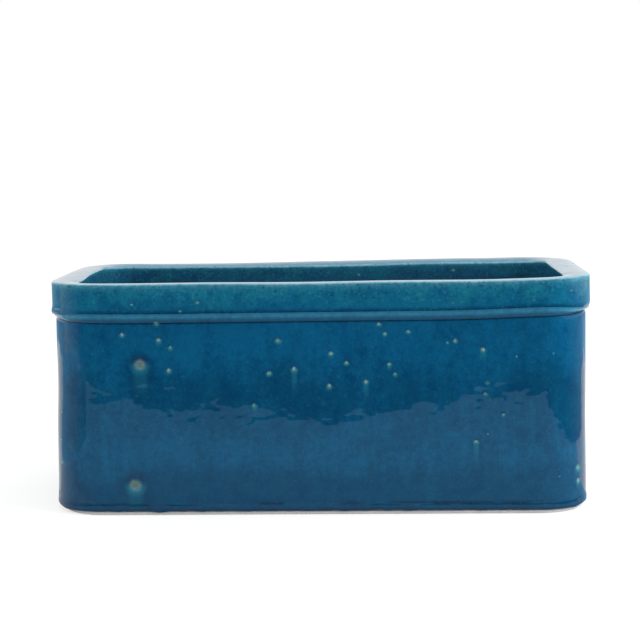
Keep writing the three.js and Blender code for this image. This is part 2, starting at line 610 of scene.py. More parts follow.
@dataclass(frozen=True)
class HandShape:
    """How the hand-made pot departs from its drawing.

    A point moves outwards by two ripples. At the left end the wall also leans out, more towards its
    foot. A point moves upwards by the lie of the collar's lower line and of the rim: the lower line
    rises at both ends, and the rim dips in the middle and rises at both ends, by smooth steps along x.
    The upward part starts at lift_from times the crease's height and is whole at the crease. The lie of
    the front rim goes over to that of the back rim within half_depth of the middle. The collar's inner
    edge stands further in at the left end, runs further into the two front corners than into the back
    ones, and lies lower than the outer edge along the front and the back. At both ends the brow hangs
    lower, so that the slope under it is short, and the crease is pinched deeper, more so at the right.
    At the left end the collar's lower edge flares out, and at the right end the brow is rounded off. The
    foot is fuller at the four corners, and the hem of the glaze above it is uneven. The glaze is paler
    towards the ends: on the collar's face at the right end as painted light, and on the ledge under it as
    thinner glaze with a painted highlight.
    """

    crease: float
    brow: float
    rim: float
    slow: Ripple = Ripple(0.22 * MM, 150 * MM, 5823)
    quick: Ripple = Ripple(0.045 * MM, 42 * MM, 8)
    top: Ripple = Ripple(0.22 * MM, 120 * MM, 5)
    hem: Ripple = Ripple(0.3 * MM, 15 * MM, 31)
    hem_height: float = 10 * MM
    line_low: float = -0.35 * MM
    line_right: Rise = Rise(2.2 * MM, 145 * MM, 16 * MM)
    line_left: Rise = Rise(2.1 * MM, 188 * MM, 15 * MM)
    line_ends: float = 1.6 * MM
    back_low: float = -1.5 * MM
    back_middle: Rise = Rise(2.1 * MM, 90 * MM, 55 * MM)
    back_left: Rise = Rise(2.0 * MM, 188 * MM, 16 * MM)
    back_right: Rise = Rise(0.6 * MM, 198 * MM, 12 * MM)
    front_low: float = -2.1 * MM
    front_left: Rise = Rise(0.9 * MM, 100 * MM, 30 * MM)
    front_right: Rise = Rise(0.7 * MM, 160 * MM, 12 * MM)
    wider_left: float = 2.0 * MM
    slimmer_behind: Rise = Rise(4.5 * MM, -22 * MM, 12 * MM)
    front_corner: float = 3.6 * MM
    back_corner: float = -1.5 * MM
    inner_drop: float = 2.4 * MM
    back_inner_up: float = 0.8 * MM
    back_inner_out: float = 4.0 * MM
    facing_back: Rise = Rise(1.0, 0.8, 0.1)
    right_half: Rise = Rise(1.0, -55 * MM, 20 * MM)
    lean_top: float = 0.9 * MM
    lean_foot: float = 3.3 * MM
    dent: Bump = Bump(0.9 * MM, 100 * MM, 27 * MM)
    flare: Bump = Bump(0.9 * MM, 2.0 * MM, 2.5 * MM)
    brow_fall: float = 5.2 * MM
    brow_worn: Bump = Bump(1.1 * MM, 0.0, 1.6 * MM)
    notch: Bump = Bump(1.0, 1.0 * MM, 1.3 * MM)
    notch_right: float = 3.0 * MM
    notch_left: float = 0.5 * MM
    foot_corner: float = 1.5 * MM
    foot_corner_height: float = 30 * MM
    half_depth: float = 90 * MM
    lift_from: float = 0.25
    # The glaze paler towards the ends: painted light on the collar's right end, and on the ledge thinner
    # glaze with a painted highlight.
    painted_light_right: float = 0.3
    ledge_thin_and_highlight: float = 0.6

    @staticmethod
    def leftness(outward: np.ndarray) -> np.ndarray:
        """The square of the leftward part of each outward direction: 1 at the left end."""
        return np.clip(-outward[:, 0], 0, 1) ** 2

    @staticmethod
    def diagonal(outward: np.ndarray) -> np.ndarray:
        """How near each outward direction is to a corner's middle: (2 a b)^2, with a along x, b along y."""
        return (2 * outward[:, 0] * outward[:, 1]) ** 2

    def behind_left(self, outward: np.ndarray, centre: np.ndarray) -> np.ndarray:
        """1 along the left half of the back, by smooth steps of the direction's y and the place's x."""
        return self.facing_back.at(outward[:, 1]) * (1 - self.right_half.at(centre[:, 0]))

    def inner_shift(self, outward: np.ndarray, centre: np.ndarray) -> np.ndarray:
        """How far out the collar's inner edge stands from its drawing.

        It is the leftness times slimmer_behind, which comes by a smooth step along y, less wider_left,
        plus the corner's amount times the diagonal, plus back_inner_out along the back's left half.

        Args:
            outward: the outward direction of each ring.
            centre: the place that each ring's radii are measured from.

        Returns:
            One length for each ring.
        """
        corner = np.where(outward[:, 1] < 0, self.front_corner, self.back_corner)
        end = (self.slimmer_behind.at(centre[:, 1]) - self.wider_left) * self.leftness(outward)
        return corner * self.diagonal(outward) + end + self.back_inner_out * self.behind_left(outward, centre)

    def inner_fall(self, outward: np.ndarray, centre: np.ndarray) -> np.ndarray:
        """How far the inner edge lies low: inner_drop b^2, b along y, and less along the back's left half."""
        drop = self.inner_drop - self.back_inner_up * self.behind_left(outward, centre)
        return drop * outward[:, 1] ** 2

    def gathered(self, outward: np.ndarray) -> np.ndarray:
        """How much of the ink shows: 1, less four times the leftness."""
        return np.clip(1 - 4 * self.leftness(outward), 0, 1)

    def paler_with_painted_light(self, outward: np.ndarray, face: np.ndarray, ledge: np.ndarray) -> np.ndarray:
        """How much paler the glaze is towards the ends: painted light, and thinner glaze on the ledge.

        It is painted_light_right a^4 on the collar's face and ledge_thin_and_highlight a^2 on the ledge under
        it, with a the outward direction's part along x, for the face only where it is to the right.

        Args:
            outward: the outward direction of each ring.
            face: how much each point of the section belongs to the face.
            ledge: how much it belongs to the ledge.

        Returns:
            One share for each ring and point.
        """
        on_face = self.painted_light_right * np.clip(outward[:, 0], 0, 1) ** 4
        on_ledge = self.ledge_thin_and_highlight * outward[:, 0] ** 2
        return on_face[:, None] * face + on_ledge[:, None] * ledge

    def moved(self, grid: np.ndarray, outward: np.ndarray) -> np.ndarray:
        """Moves the points of a grid.

        Args:
            grid: places, rings by profile points by three.
            outward: the outward direction of each ring.

        Returns:
            The moved places.
        """
        side = np.concatenate([outward, np.zeros((len(outward), 1))], axis=1)[:, None, :]
        out = self._outwards(grid, outward)[..., None]
        up = self._upwards(grid, outward)[..., None]
        return grid + out * side + up * np.array([0.0, 0.0, 1.0])

    def _outwards(self, grid: np.ndarray, outward: np.ndarray) -> np.ndarray:
        """How far each point moves outwards.

        It is the two ripples, plus the leftness times the lean, less the notch of the crease and the
        wear of the brow, plus foot_corner times the diagonal, which fades out above the foot. The lean
        goes from lean_foot at the ground to lean_top at the crease and 0 at the brow, less the dent and
        plus the flare.

        Args:
            grid: places, rings by profile points by three.
            outward: the outward direction of each ring.

        Returns:
            One length for each place.
        """
        z = grid[..., 2]
        left = self.leftness(outward)[:, None]
        right = (outward[:, 0] ** 2)[:, None] - left
        over = np.clip((self.brow - z) / (self.brow - self.crease), 0, 1)
        lean = self.lean_top * over + (self.lean_foot - self.lean_top) * (1 - part_way(z, 0, self.crease))
        lean = lean - self.dent.at(z) + self.flare.at(z - self.brow)
        notch = (self.notch_right * right + self.notch_left * left) * self.notch.at(z - self.crease)
        notch = notch + right * self.brow_worn.at(z - self.brow)
        low = np.clip(1 - z / self.foot_corner_height, 0, 1) ** 2
        fuller = self.foot_corner * self.diagonal(outward)[:, None] * low
        return self.slow.at(grid) + self.quick.at(grid) + left * lean - notch + fuller

    def _upwards(self, grid: np.ndarray, outward: np.ndarray) -> np.ndarray:
        """How far each point moves upwards.

        It is the lie of the collar's lower line up to the crease, and goes over to the lie of the rim
        from the brow up. The brow falls at the ends, and the glaze's hem wavers.

        Args:
            grid: places, rings by profile points by three.
            outward: the outward direction of each ring.

        Returns:
            One length for each place.
        """
        x, y, z = np.moveaxis(grid, -1, 0)
        endness = (outward[:, 0] ** 2)[:, None]
        line = self.line_low + self.line_right.at(x) + self.line_left.at(-x) + self.line_ends * endness**2
        back = self.back_low + self.back_middle.at(x) + self.back_left.at(-x) + self.back_right.at(x)
        front = self.front_low + self.front_left.at(-x) + self.front_right.at(x)
        behind = part_way(y, -self.half_depth, self.half_depth)
        rim = behind * back + (1 - behind) * front + self.top.at(grid)
        above = part_way(z, self.brow, self.rim)
        line_and_rim = line * (1 - above) + rim * above
        lift = part_way(z, self.lift_from * self.crease, self.crease) ** 2 * line_and_rim
        brow = part_way(z, self.crease, self.brow) * (1 - above)
        hem = self.hem.at(grid) * part_way(z, self.hem_height, self.hem_height / 2)
        return lift - self.brow_fall * endness * brow + hem


class Mark(Enum):
    """What a pinhole in the glaze shows."""

    CREAM = "bare clay in the middle"
    SCAR = "clay under a skin of glaze"
    GREEN = "thin green glaze in the middle"
    PIT = "a dark open pit"


@dataclass(frozen=True)
class Pinhole:
    """A pinhole that shows in the photograph, by its place in the 640 by 640 frame."""

    column: float
    row: float
    radius: float
    run: float = 4.0
    mark: Mark = Mark.CREAM


PINHOLES = [
    Pinhole(139.7, 365.0, 4.3, 30, Mark.SCAR),
    Pinhole(135.8, 484.6, 4.7, 24, Mark.SCAR),
    Pinhole(155.5, 322.9, 1.56),
    Pinhole(121.7, 334.4, 1.56),
    Pinhole(159.0, 340.6, 1.56, 8),
    Pinhole(171.0, 347.5, 1.32, 5, Mark.GREEN),
    Pinhole(169.5, 369.5, 1.56, 6),
    Pinhole(254.0, 405.7, 1.44, 9, Mark.GREEN),
    Pinhole(277.6, 341.1, 1.8),
    Pinhole(268.5, 372.0, 1.56),
    Pinhole(293.4, 369.2, 1.68, 24),
    Pinhole(330.4, 352.7, 1.56, 6),
    Pinhole(346.0, 362.6, 1.32),
    Pinhole(328.6, 385.3, 1.56, 6),
    Pinhole(366.9, 381.4, 1.56, 20),
    Pinhole(385.5, 334.0, 1.32),
    Pinhole(378.2, 323.8, 1.44),
    Pinhole(408.5, 331.6, 1.32),
    Pinhole(389.1, 364.6, 1.44, 6),
    Pinhole(395.4, 373.1, 1.2),
    Pinhole(455.6, 340.2, 1.32),
    Pinhole(447.9, 342.5, 0.72, 2),
    Pinhole(483.0, 350.0, 1.68, 12),
    Pinhole(517.0, 356.5, 0.6, 2),
    Pinhole(553.0, 353.0, 0.6, 2),
    Pinhole(476.0, 440.5, 1.44, 22),
    Pinhole(503.8, 414.7, 0.96),
    Pinhole(487.7, 433.7, 0.6, 2),
    Pinhole(559.0, 475.8, 0.6, 2),
    Pinhole(484.5, 394.0, 1.2, 2, Mark.GREEN),
    Pinhole(577.5, 466.0, 2.4, 8, Mark.GREEN),
    Pinhole(578.0, 480.0, 2.0, 8),
    Pinhole(487.0, 382.3, 1.08, 2, Mark.PIT),
    Pinhole(131.0, 304.8, 0.96, 2),
    Pinhole(197.3, 302.8, 0.96, 3),
    Pinhole(180.0, 310.4, 0.84, 2),
    Pinhole(454.0, 301.7, 0.84, 2, Mark.PIT),
    Pinhole(534.0, 299.2, 0.72, 2, Mark.PIT),
    Pinhole(61.8, 411.0, 0.9, 2, Mark.PIT),
    # These two pale marks at the left edge are chips in the glaze and also painted glints.
    Pinhole(61.6, 439.5, 0.9, 2),
    Pinhole(62.4, 462.5, 1.1, 3),
    Pinhole(359.3, 274.7, 1.1),
    Pinhole(453.5, 270.9, 1.3),
    Pinhole(567.0, 266.0, 1.6, 2, Mark.PIT),
    Pinhole(572.0, 289.8, 0.84, 2, Mark.GREEN),
]


@dataclass
class PinholeField:
    """Every pinhole in the glaze: those of the photograph, and seeded ones where it doesn't look."""

    loop: float
    scattered: int = 110
    seed: int = 11
    window: float = 2.4
    same_surface: float = 30 * MM

    def __post_init__(self) -> None:
        """Starts the field empty."""
        self.places = np.zeros((0, 2))
        self.traits = np.zeros((0, 4))

    def _add(self, places: np.ndarray, traits: np.ndarray) -> None:
        """Adds pinholes by running length and reach, with radius, run, greenness and pit."""
        self.places = np.concatenate([self.places, places])
        self.traits = np.concatenate([self.traits, traits])

    def add_seen(self, rings: list["Ring"], camera: PhotoCamera) -> None:
        """Puts each pinhole of the photograph on the point that it covers.

        Of the points that face the camera close to the pinhole's pixel, the nearest to the camera
        decides which surface it is, and the nearest to the pixel which point.

        Args:
            rings: the courses' surfaces.
            camera: the photograph's point of view.
        """
        place, facing, reach, run = [], [], [], []
        for ring in rings:
            shown = ring.profile.shown
            grid, normals = ring.grid[:, shown], ring.normals[:, shown]
            away = grid - np.array(camera.place)
            place.append(grid.reshape(-1, 3))
            facing.append(((away * normals).sum(axis=-1) < 0).ravel())
            reach.append(np.tile(ring.profile.reach[shown], len(grid)))
            run.append(np.repeat(ring.run, shown.sum()))
        points, faces, reaches, runs = (np.concatenate(part) for part in (place, facing, reach, run))
        pixels = camera.pixels(points)
        depth = np.linalg.norm(points - np.array(camera.place), axis=1)
        for hole in PINHOLES:
            apart = np.hypot(pixels[:, 0] - hole.column, pixels[:, 1] - hole.row)
            close = faces & (apart < self.window)
            if not close.any():
                continue
            close &= depth < depth[close].min() + self.same_surface
            best = int(np.argmin(np.where(close, apart, np.inf)))
            green = float(hole.mark is Mark.GREEN)
            pit = {Mark.PIT: 1.0, Mark.SCAR: 0.4}.get(hole.mark, 0.0)
            place_on = np.array([[runs[best], reaches[best]]])
            self._add(place_on, np.array([[hole.radius, hole.run, green, pit]]))

    def add_scattered(self, lowest: float, highest: float, skip: tuple[float, float]) -> None:
        """Scatters pinholes over the sides that the photograph doesn't show.

        Args:
            lowest: the lowest reach.
            highest: the highest reach.
            skip: the running lengths between which there are none.
        """
        rng = np.random.default_rng(self.seed)
        run = rng.uniform(0, self.loop, self.scattered)
        height = rng.uniform(lowest, highest, self.scattered)
        kept = (run < skip[0]) | (run > skip[1])
        radius = np.clip(rng.lognormal(0.05, 0.38, self.scattered), 0.5, 3.6)
        drop = rng.choice([2.0, 4.0, 6.0, 16.0, 24.0], self.scattered)
        green = (rng.random(self.scattered) < 0.18).astype(float)
        pit = np.where(radius > 2.4, 0.5, (rng.random(self.scattered) < 0.06).astype(float))
        self._add(np.stack([run, height], axis=1)[kept], np.stack([radius, drop, green, pit], axis=1)[kept])

    def nearest(self, run: np.ndarray, reach: np.ndarray) -> np.ndarray:
        """The pinhole that each place belongs to, counting a run of glaze as part of its pinhole.

        Args:
            run: running lengths.
            reach: ways along the section.

        Returns:
            The index of a pinhole for each place.
        """
        across = np.abs(run[:, None] - self.places[:, 0])
        across = np.minimum(across, self.loop - across)
        up = reach[:, None] - self.places[:, 1]
        drop = self.traits[:, 1] * MM
        beyond = np.where(up > 0, up, np.maximum(0.0, -up - drop))
        return np.argmin(np.hypot(across, beyond), axis=1)


@dataclass(frozen=True)
class Ring:
    """A whole course as one surface: places, normals, ink, and how thin its glaze is, painted light included.
    """

    grid: np.ndarray
    normals: np.ndarray
    thin: np.ndarray
    ink: np.ndarray
    profile: Profile
    run: np.ndarray


class RingBuilder:
    """Carries a profile round the plan, shapes it by hand, and cuts it into pieces."""

    def __init__(self, plan: TroughPlan, hand: HandShape) -> None:
        """Keeps the plan, the hand's shape and the stations round the trough.

        Args:
            plan: the trough seen from above.
            hand: how the pot departs from its drawing.
        """
        self.plan = plan
        self.hand = hand
        self.stations = plan.stations()

    def ring(self, profile: Profile) -> Ring:
        """Carries a profile round: place = centre + radius * outward, at the profile's height.

        The normal is the cross product of the differences along the ring and along the profile, over
        the closed surface, so two pieces that meet share it.

        Args:
            profile: the section.

        Returns:
            The ring.
        """
        radius, height = profile.points.T
        outward = self.stations.outward
        centre = self.stations.centre
        radius = radius + self.hand.inner_shift(outward, centre)[:, None] * profile.inward
        level = height - self.hand.inner_fall(outward, centre)[:, None] * profile.sag
        flat = centre[:, None, :] + radius[..., None] * outward[:, None, :]
        grid = self.hand.moved(np.dstack([flat, level]), outward)
        along = np.roll(grid, -1, axis=0) - np.roll(grid, 1, axis=0)
        up = np.roll(grid, -1, axis=1) - np.roll(grid, 1, axis=1)
        normals = np.cross(along, up)
        normals /= np.linalg.norm(normals, axis=-1, keepdims=True)
        # The hand's paler ends add painted light to the glaze's thinness, on the collar's face and ledge.
        thin = np.clip(profile.thin + self.hand.paler_with_painted_light(outward, profile.face, profile.ledge), 0, 1)
        ink = self.hand.gathered(outward)[:, None] * profile.ink
        return Ring(grid, normals, thin, ink, profile, self.stations.run)

    def spans(self) -> dict[str, np.ndarray]:
        """The rings that each stretch takes, from its first tangent point to its last.

        Returns:
            Their numbers, by the stretch's name.
        """
        spans, first = {}, 0
        total = len(self.stations.run)
        for part in self.plan.stretches():
            spans[part.name] = np.arange(first, first + part.cells + 1) % total
            first += part.cells
        return spans

    def piece(self, name: str, ring: Ring, rows: np.ndarray, holes: PinholeField) -> bpy.types.Object:
        """Cuts one stretch out of a ring and closes its two ends.

        Args:
            name: the piece's name.
            ring: the course's surface.
            rows: the indices of its rings of points.
            holes: the pinholes of the outside.

        Returns:
            The piece.
        """
        across, around = len(rows), len(ring.profile.points)
        index = np.arange(across * around).reshape(across, around)
        quads = quads_on(np.column_stack([index, index[:, 0]]))
        loops = np.concatenate([quads.ravel(), index[0], index[-1, ::-1]])
        starts = np.concatenate([np.arange(len(quads)) * 4, quads.size + np.array([0, around])])

        mesh = bpy.data.meshes.new(name)
        mesh.vertices.add(index.size)
        mesh.vertices.foreach_set("co", ring.grid[rows].ravel())
        mesh.loops.add(len(loops))
        mesh.loops.foreach_set("vertex_index", loops.astype(np.int32))
        mesh.polygons.add(len(starts))
        mesh.polygons.foreach_set("loop_start", starts.astype(np.int32))
        mesh.update(calc_edges=True)
        mesh.shade_smooth()

        self._lay_glaze(mesh, ring, rows)
        self._lay_pinholes(mesh, ring, rows, quads, holes)
        self._set_normals(mesh, ring, rows, quads)
        return put_in_scene(name, mesh)

    @staticmethod
    def _lay_glaze(mesh: bpy.types.Mesh, ring: Ring, rows: np.ndarray) -> None:
        """Stores thinness and pooling of the glaze, both partly painted light, its drawn height in mm, and
        its ink.

        Args:
            mesh: the piece's mesh.
            ring: the course's surface.
            rows: the indices of the piece's rings of points.
        """
        thin = ring.thin[rows]
        pool = np.broadcast_to(ring.profile.pool, thin.shape)
        height = np.broadcast_to(ring.profile.points[:, 1] / MM, thin.shape)
        store(mesh, "ink", "POINT", "FLOAT", ring.ink[rows])
        store(mesh, "glaze", "POINT", "FLOAT_VECTOR", np.dstack([thin, pool, height]))

    @staticmethod
    def _lay_pinholes(
        mesh: bpy.types.Mesh, ring: Ring, rows: np.ndarray, quads: np.ndarray, holes: PinholeField
    ) -> None:
        """Stores, at each corner of each face, where it lies from the face's own pinhole, in mm.

        A place is linear in the face's corners, so the pinhole comes out exact at any size of mesh.

        Args:
            mesh: the piece's mesh.
            ring: the course's surface.
            rows: the indices of the piece's rings of points.
            quads: the faces of its sides.
            holes: the pinholes.
        """
        around = len(ring.profile.points)
        seam = ring.run[rows].copy()
        seam[1:][np.diff(ring.run[rows]) < 0] += holes.loop
        run = np.repeat(seam, around)
        reach = np.tile(ring.profile.reach, len(rows))
        shown = np.tile(ring.profile.shown, len(rows))[quads].all(axis=1)
        downhill = np.tile(ring.profile.downhill, len(rows))
        middle_run = run[quads].mean(axis=1) % holes.loop
        middle_reach = reach[quads].mean(axis=1)
        place = np.full((len(quads), 4, 3), NO_PINHOLE)
        trait = np.zeros((len(quads), 4, 3))
        if shown.any():
            own = holes.nearest(middle_run[shown], middle_reach[shown])
            across = run[quads[shown]] - holes.places[own, 0][:, None]
            across -= np.round(across / holes.loop) * holes.loop
            up = reach[quads[shown]] - holes.places[own, 1][:, None]
            up = up * downhill[quads[shown, 0]][:, None]
            radius = np.broadcast_to(holes.traits[own, 0][:, None], across.shape)
            place[shown] = np.stack([across / MM, up / MM, radius], axis=-1)
            trait[shown] = holes.traits[own, 1:][:, None, :]
        ends = np.full((len(mesh.loops) - quads.size, 3), NO_PINHOLE)
        layers = {"pinhole": (place, ends), "pinhole_kind": (trait, np.zeros_like(ends))}
        for name, (sides, closing) in layers.items():
            store(mesh, name, "CORNER", "FLOAT_VECTOR", np.concatenate([sides.reshape(-1, 3), closing]))

    @staticmethod
    def _set_normals(mesh: bpy.types.Mesh, ring: Ring, rows: np.ndarray, quads: np.ndarray) -> None:
        """Gives the sides the ring's normals and the two ends flat ones.

        Args:
            mesh: the piece's mesh.
            ring: the course's surface.
            rows: the indices of the piece's rings of points.
            quads: the faces of its sides.
        """
        sides = ring.normals[rows].reshape(-1, 3)[quads.ravel()]
        ends = []
        for here, there in ((rows[0], rows[1]), (rows[-1], rows[-2])):
            away = (ring.grid[here] - ring.grid[there]).mean(axis=0)
            ends.append(np.tile(away / np.linalg.norm(away), (len(ring.profile.points), 1)))
        mesh.normals_split_custom_set(np.concatenate([sides, *ends]).tolist())


@dataclass(frozen=True)
class GlazeFinish:
    """Copper-blue alkaline glaze over pale clay, dipped, run and fired glossy.

    It gives the eye a deep petrol blue under a hard gloss, greener and paler where it is thin over an
    edge, near black-blue where it has pooled or run together into a line, clouded and streaked
    downwards, and peppered with fine bubbles. Pinholes have burst through to the clay, each with a
    darker lip and a paler run below. Patterns have their real sizes, in millimetres, except for bubbles
    and flecks, which are drawn coarser than they are, so that they show. Its colour also holds painted
    light: lighter by height on the walls, paler at the collar's ends and on its ledge, and darker near
    the foot and inside, where the pooled glaze also paints shade.
    """

    name: str = "glazed earthenware, dipped petrol blue"
    deep: str = "#03426b"
    middle: str = "#085c8b"
    green: str = "#197893"
    light: str = "#2b7997"
    light_low: str = "#2989b0"
    thin: str = "#74b2c4"
    pooled: str = "#26354d"
    ink: str = "#022c4c"
    bubble: str = "#3690a8"
    speck: str = "#03324e"
    run: str = "#2a86a0"
    halo: str = "#318e8b"
    clay: str = "#b6c2c2"
    sage: str = "#74b3a4"
    scar: str = "#a08c74"
    ior: float = 1.4
    coat_ior: float = 1.5
    coat_share: float = 0.25
    roughness: float = 0.03
    crater_roughness: float = 0.4
    cloud: Pattern = Pattern(38.0, 4.0)
    streak: Pattern = Pattern(9.0, 4.0, 0.3)
    mottle: Pattern = Pattern(5.0, 6.0)
    grain: Pattern = Pattern(1.9, 3.0)
    tint: Pattern = Pattern(13.0, 3.0)
    fleck: Pattern = Pattern(2.3, 2.0)
    speckle: Pattern = Pattern(1.3, 1.0)
    worked: Pattern = Pattern(20.0, 2.0, 12.0)
    dash: Pattern = Pattern(13.0, 2.0, 3.0)
    foot_dash: Pattern = Pattern(32.0, 2.0, 7.5)
    brush: Pattern = Pattern(40.0, 1.0)
    brush_depth_mm: float = 0.14
    peel: Pattern = Pattern(14.0, 0.8, 1.3)
    peel_depth_mm: float = 0.27
    bubble_mm: float = 2.3
    wobble_mm: float = 2.6
    wobble_depth_mm: float = 1.5
    dash_below_mm: float = 18.0
    # Heights of the painted light on the walls: lighter from the first to the second, as the floor's bounce
    # would light them, a little darker up to the third, and lighter up to the fourth, as light from above
    # falls.
    painted_bounce_from_mm: float = 20.0
    painted_bounce_to_mm: float = 45.0
    painted_dim_to_mm: float = 92.0
    painted_top_light_to_mm: float = 135.0
    green_from_mm: float = 152.0
    green_to_mm: float = 180.0

    def material(self) -> bpy.types.Material:
        """Makes the glaze as a material.

        Returns:
            The material, which reads Object coordinates and the mesh's glaze, ink and pinholes.
        """
        material = bpy.data.materials.new(self.name)
        shade = Shading(material)
        mottle = self.mottle.on(shade)
        glaze = shade.add(Step.SPLIT, shade.add(Step.STORED, attribute_name="glaze"))
        colour = self._body(shade, mottle, glaze[2])
        colour = self._edges(shade, colour, mottle, glaze)
        colour = self._bubbles(shade, colour, glaze[2])
        colour, core, crater = self._pinholes(shade, colour)
        brush, peel = self.brush.on(shade), self.peel.on(shade)
        height = shade.weighted((brush, self.brush_depth_mm), (peel, self.peel_depth_mm), start=crater)
        relief = shade.add(Step.RELIEF, height, MM, 1.0)
        shade.surface(
            "ShaderNodeBsdfPrincipled",
            {
                "Base Color": colour,
                "Roughness": shade.add(Step.RAMP, core, 0.0, 1.0, self.roughness, self.crater_roughness),
                "IOR": self.ior,
                "Normal": relief,
                "Coat Weight": self.coat_share,
                "Coat Roughness": self.roughness,
                "Coat IOR": self.coat_ior,
                "Coat Normal": relief,
            },
        )
        return material

    def _body(self, shade: Shading, mottle: Socket, height: Socket) -> Socket:
        """The glaze's colour: clouds and downward streaks of blue, greener towards the rim, and painted light
        by height.

        Args:
            shade: the tree.
            mottle: a fine noise.
            height: the height above the ground, in millimetres.

        Returns:
            The colour.
        """
        cloud, streak, grain = (pattern.on(shade) for pattern in (self.cloud, self.streak, self.grain))
        # Painted light by height: lighter above the foot, as from the floor's bounce, a little darker higher
        # up, and lighter towards the top, as from the light above.
        foot = shade.add(Step.RAMP, height, self.painted_bounce_from_mm, self.painted_bounce_to_mm, 0.0, 0.18)
        above = shade.add(Step.RAMP, height, self.painted_bounce_to_mm, self.painted_dim_to_mm, 0.0, 0.1)
        top = shade.add(Step.RAMP, height, self.painted_dim_to_mm, self.painted_top_light_to_mm, 0.0, 0.2)
        drift = shade.weighted((cloud, 0.42), (streak, 0.36), (mottle, 0.42), (grain, 0.24), start=-0.42)
        drift = shade.weighted((foot, 1.0), (above, -1.0), (top, 1.0), start=drift)
        body = shade.add(Step.MIX, shade.add(Step.RAMP, drift, 0.3, 0.7), self.deep, self.middle)
        rise = shade.add(Step.RAMP, height, self.green_from_mm, self.green_to_mm, 0.14, 0.95)
        patchy = shade.add(Step.RAMP, self.tint.on(shade), 0.3, 0.7, 0.3, 1.15)
        return shade.add(Step.MIX, shade.product(rise, patchy), body, self.green)

    def _edges(self, shade: Shading, colour: Socket, mottle: Socket, glaze: list[Socket]) -> Socket:
        """Breaks the glaze pale over edges, raggedly, and darkens it where pooled, both partly painted light.

        Near the rim the potter's tool has left level lines. The ink, where glaze has run together into
        a groove, is broken into dashes, which are longer near the foot.

        Args:
            shade: the tree.
            colour: the colour so far.
            mottle: a fine noise.
            glaze: how thin the glaze is, how much has pooled, and the height in millimetres.

        Returns:
            The colour.
        """
        # The thin share carries painted light at the collar's ends and ledge, the pooled share painted shade
        # near the foot and inside.
        thin, pool, height = glaze
        bare = shade.product(thin, shade.add(Step.RAMP, mottle, 0.35, 0.65, 0.8, 1.12))
        rise = shade.add(Step.RAMP, height, self.green_from_mm, self.green_to_mm)
        edge = shade.add(Step.MIX, rise, self.light_low, self.light)
        light = shade.add(Step.MIX, shade.add(Step.RAMP, bare, 0.0, 0.45), colour, edge)
        pale = shade.add(Step.MIX, shade.add(Step.RAMP, bare, 0.3, 1.0), light, self.thin)
        worked = shade.add(Step.RAMP, self.worked.on(shade), 0.6, 0.75)
        pale = shade.add(Step.MIX, shade.product(worked, rise, 0.4), pale, self.speck)

        short, long = self.dash.on(shade), self.foot_dash.on(shade)
        plain = shade.add(Step.RAMP, height, self.dash_below_mm, self.dash_below_mm + 4.0)
        dashes = shade.weighted((shade.add(Step.MINUS, short, long), plain), start=long)
        gap = shade.add(Step.RAMP, plain, 0.0, 1.0, 0.0, 0.85)
        broken = shade.add(Step.RAMP, dashes, 0.46, 0.56, gap, 1.1)
        ink = shade.product(shade.add(Step.STORED_NUMBER, attribute_name="ink"), broken)
        pooled = shade.product(pool, shade.add(Step.RAMP, dashes, 0.42, 0.56, 0.9, 1.2))
        return shade.add(Step.MIX, ink, shade.add(Step.MIX, pooled, pale, self.pooled), self.ink)

    def _bubbles(self, shade: Shading, colour: Socket, height: Socket) -> Socket:
        """Peppers the glaze with fine bubbles and flecks, pale and dark, more of them near the rim.

        Args:
            shade: the tree.
            colour: the colour so far.
            height: the height above the ground, in millimetres.

        Returns:
            The colour.
        """
        away, lot = shade.add(Step.CELLS, shade.place, per_mm(self.bubble_mm))
        dot = shade.add(Step.RAMP, away, 0.08, 0.24, 1.0, 0.0)
        lots = shade.add(Step.SPLIT, lot)
        often = shade.add(Step.RAMP, height, self.green_from_mm, self.green_to_mm, 0.45, 1.0)
        kinds = ((lots[0], 0.94, self.bubble, 0.55), (lots[1], 0.88, self.speck, 0.65))
        for chance, odds, tint, weight in kinds:
            shown = shade.product(dot, shade.add(Step.EXCEEDS, chance, odds), often, weight)
            colour = shade.add(Step.MIX, shown, colour, tint)
        fleck = self.fleck.on(shade)
        share = shade.add(Step.RAMP, height, self.green_from_mm, self.green_to_mm, 0.11, 0.5)
        for start, end, tint in ((0.55, 0.75, self.bubble), (0.45, 0.27, self.speck)):
            shown = shade.product(shade.add(Step.RAMP, fleck, start, end), share)
            colour = shade.add(Step.MIX, shown, colour, tint)
        return colour

    def _pinholes(self, shade: Shading, colour: Socket) -> tuple[Socket, Socket, Socket]:
        """Draws each pinhole: a core within its radius, a lip above it, a glow and a run below.

        Its outline is ragged, because its place is moved by a fine noise. Round a large one and its run
        lies a moat of deeper glaze, and its core is clay baked to a scar, speckled with glaze.

        Args:
            shade: the tree.
            colour: the colour so far.

        Returns:
            The colour, how far the core shows, and the crater's relief in millimetres.
        """
        offset = shade.add(Step.STORED, attribute_name="pinhole")
        radius = shade.add(Step.SPLIT, offset)[2]
        kind = shade.add(Step.SPLIT, shade.add(Step.STORED, attribute_name="pinhole_kind"))
        run_length = kind[0]
        depth = self.wobble_depth_mm
        wobble = shade.add(Step.NOISE_VECTOR, shade.place, per_mm(self.wobble_mm), 2.0)
        moved = shade.add(Step.VECTOR_TIMES_PLUS, wobble, (depth, depth, 0.0), offset)
        moved = shade.add(Step.VECTOR_MINUS, moved, (depth / 2, depth / 2, 0.0))
        across_mm, up_mm = shade.add(Step.SPLIT, moved)[:2]
        across = shade.add(Step.OVER, across_mm, radius)
        up = shade.add(Step.OVER, up_mm, radius)
        away = shade.distance(across, up)
        large = shade.add(Step.RAMP, radius, 1.6, 3.2)

